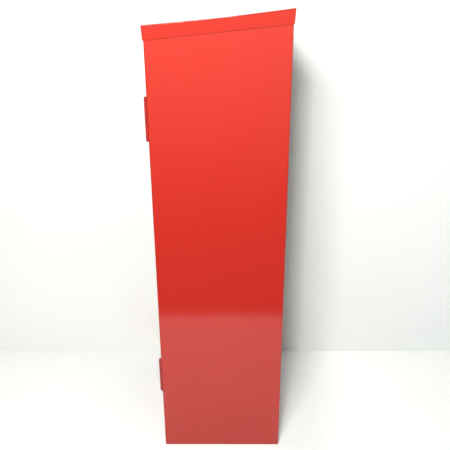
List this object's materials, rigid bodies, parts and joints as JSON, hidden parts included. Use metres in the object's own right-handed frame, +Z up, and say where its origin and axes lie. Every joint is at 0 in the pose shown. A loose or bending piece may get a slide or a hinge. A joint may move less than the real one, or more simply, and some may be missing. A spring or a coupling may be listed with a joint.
{
  "type": "book drop box",
  "caption": "Tall narrow sheet-metal book return cabinet with a sloped overlapping cap, hinged front door with flap slot and lever lock, and a bin with a spring-hung platform.",
  "frame": {"origin": "bottom centre of the bounding box: on the floor under the rubber feet, midway across, 16 mm in front of the centre of the 400 x 340 mm footprint because the lever stands out at the front", "axes": "+Z up; the door and book slot face -Y; +X is the cabinet's right side seen from the front, where the door hinges are"},
  "size_m": [0.407, 0.3785, 1.2165],
  "materials": {
    "red_paint": "glossy powder coat",
    "galvanised": "galvanised sheet, satin",
    "zinc": "zinc plated",
    "steel": "plain steel",
    "bright": "polished",
    "brass": "satin",
    "rubber": "matt",
    "nylon": "matt",
    "felt": "wool felt"
  },
  "bodies": {
    "cabinet": {"side_panel_right": "red_paint", "side_panel_left": "red_paint", "back_panel": "red_paint", "base_pan": "red_paint", "roof_cap": "red_paint", "front_header": "red_paint", "front_sill": "red_paint", "foot_front_right": "rubber", "foot_front_left": "rubber", "foot_back_right": "rubber", "foot_back_left": "rubber", "door_stop": "red_paint", "door_buffer_upper": "rubber", "door_buffer_lower": "rubber", "book_chute": "galvanised", "rear_deflector": "galvanised", "rod_keeper_upper": "zinc", "rod_keeper_lower": "zinc", "bin_runner_right": "galvanised", "bin_runner_left": "galvanised", "bin_side_right": "galvanised", "bin_side_left": "galvanised", "bin_front": "galvanised", "bin_back": "galvanised", "bin_floor": "galvanised", "bin_rim": "galvanised", "hinge_frame_leaf_lower": "red_paint", "hinge_frame_leaf_upper": "red_paint", "hinge_pin_lower": "red_paint", "hinge_pin_upper": "red_paint", "lift_spring_front_right": "steel", "lift_spring_front_left": "steel", "lift_spring_back_right": "steel", "lift_spring_back_left": "steel"},
    "door": {"door_skin": "red_paint", "door_stiffener": "red_paint", "rod_guide_upper": "zinc", "rod_guide_lower": "zinc", "slot_bezel": "zinc", "flap_bracket_right": "zinc", "flap_bracket_left": "zinc", "flap_rod": "steel", "hinge_door_leaf_lower": "red_paint", "hinge_door_leaf_upper": "red_paint", "handle_escutcheon": "bright"},
    "flap": {"slot_flap": "red_paint", "flap_trim": "rubber"},
    "handle": {"handle_lever": "bright", "latch_cam": "zinc", "cam_nut": "zinc"},
    "key": {"key_plug": "brass"},
    "rod_upper": {"lock_rod_upper": "zinc"},
    "rod_lower": {"lock_rod_lower": "zinc"},
    "platform": {"platform_tray": "galvanised", "platform_pad": "felt", "guide_shoe_front_right": "nylon", "guide_shoe_front_left": "nylon", "guide_shoe_back_right": "nylon", "guide_shoe_back_left": "nylon"}
  },
  "joints": [
    {"name": "door_hinge", "type": "hinge", "parent": "cabinet", "child": "door", "pos_m": [0.186, -0.1583, 0], "axis": [0, 0, 1], "range_deg": [0, 110]},
    {"name": "flap_hinge", "type": "hinge", "parent": "door", "child": "flap", "pos_m": [0, -0.1475, 1.068], "axis": [1, 0, 0], "range_deg": [0, 65], "stiffness_Nm_per_rad": 0.15, "springref_deg": -34.38},
    {"name": "handle_turn", "type": "hinge", "parent": "door", "child": "handle", "pos_m": [-0.156, -0.154, 0.62], "axis": [0, 1, 0], "range_deg": [0, 90]},
    {"name": "key_turn", "type": "hinge", "parent": "handle", "child": "key", "pos_m": [-0.156, -0.154, 0.62], "axis": [0, 1, 0], "range_deg": [0, 90]},
    {"name": "rod_upper_slide", "type": "slide", "parent": "door", "child": "rod_upper", "axis": [0, 0, 1], "range_m": [0, 0.024]},
    {"name": "rod_lower_slide", "type": "slide", "parent": "door", "child": "rod_lower", "axis": [0, 0, -1], "range_m": [0, 0.024]},
    {"name": "platform_slide", "type": "slide", "parent": "cabinet", "child": "platform", "axis": [0, 0, -1], "range_m": [0, 0.4], "stiffness_N_per_m": 480, "springref_m": -0.08, "deforming": ["lift_spring_front_right", "lift_spring_front_left", "lift_spring_back_right", "lift_spring_back_left"]}
  ],
  "couplings": [
    {"joint": "rod_upper_slide", "follows": "handle_turn", "m_per_rad": 0.015273},
    {"joint": "rod_lower_slide", "follows": "handle_turn", "m_per_rad": 0.015273}
  ]
}
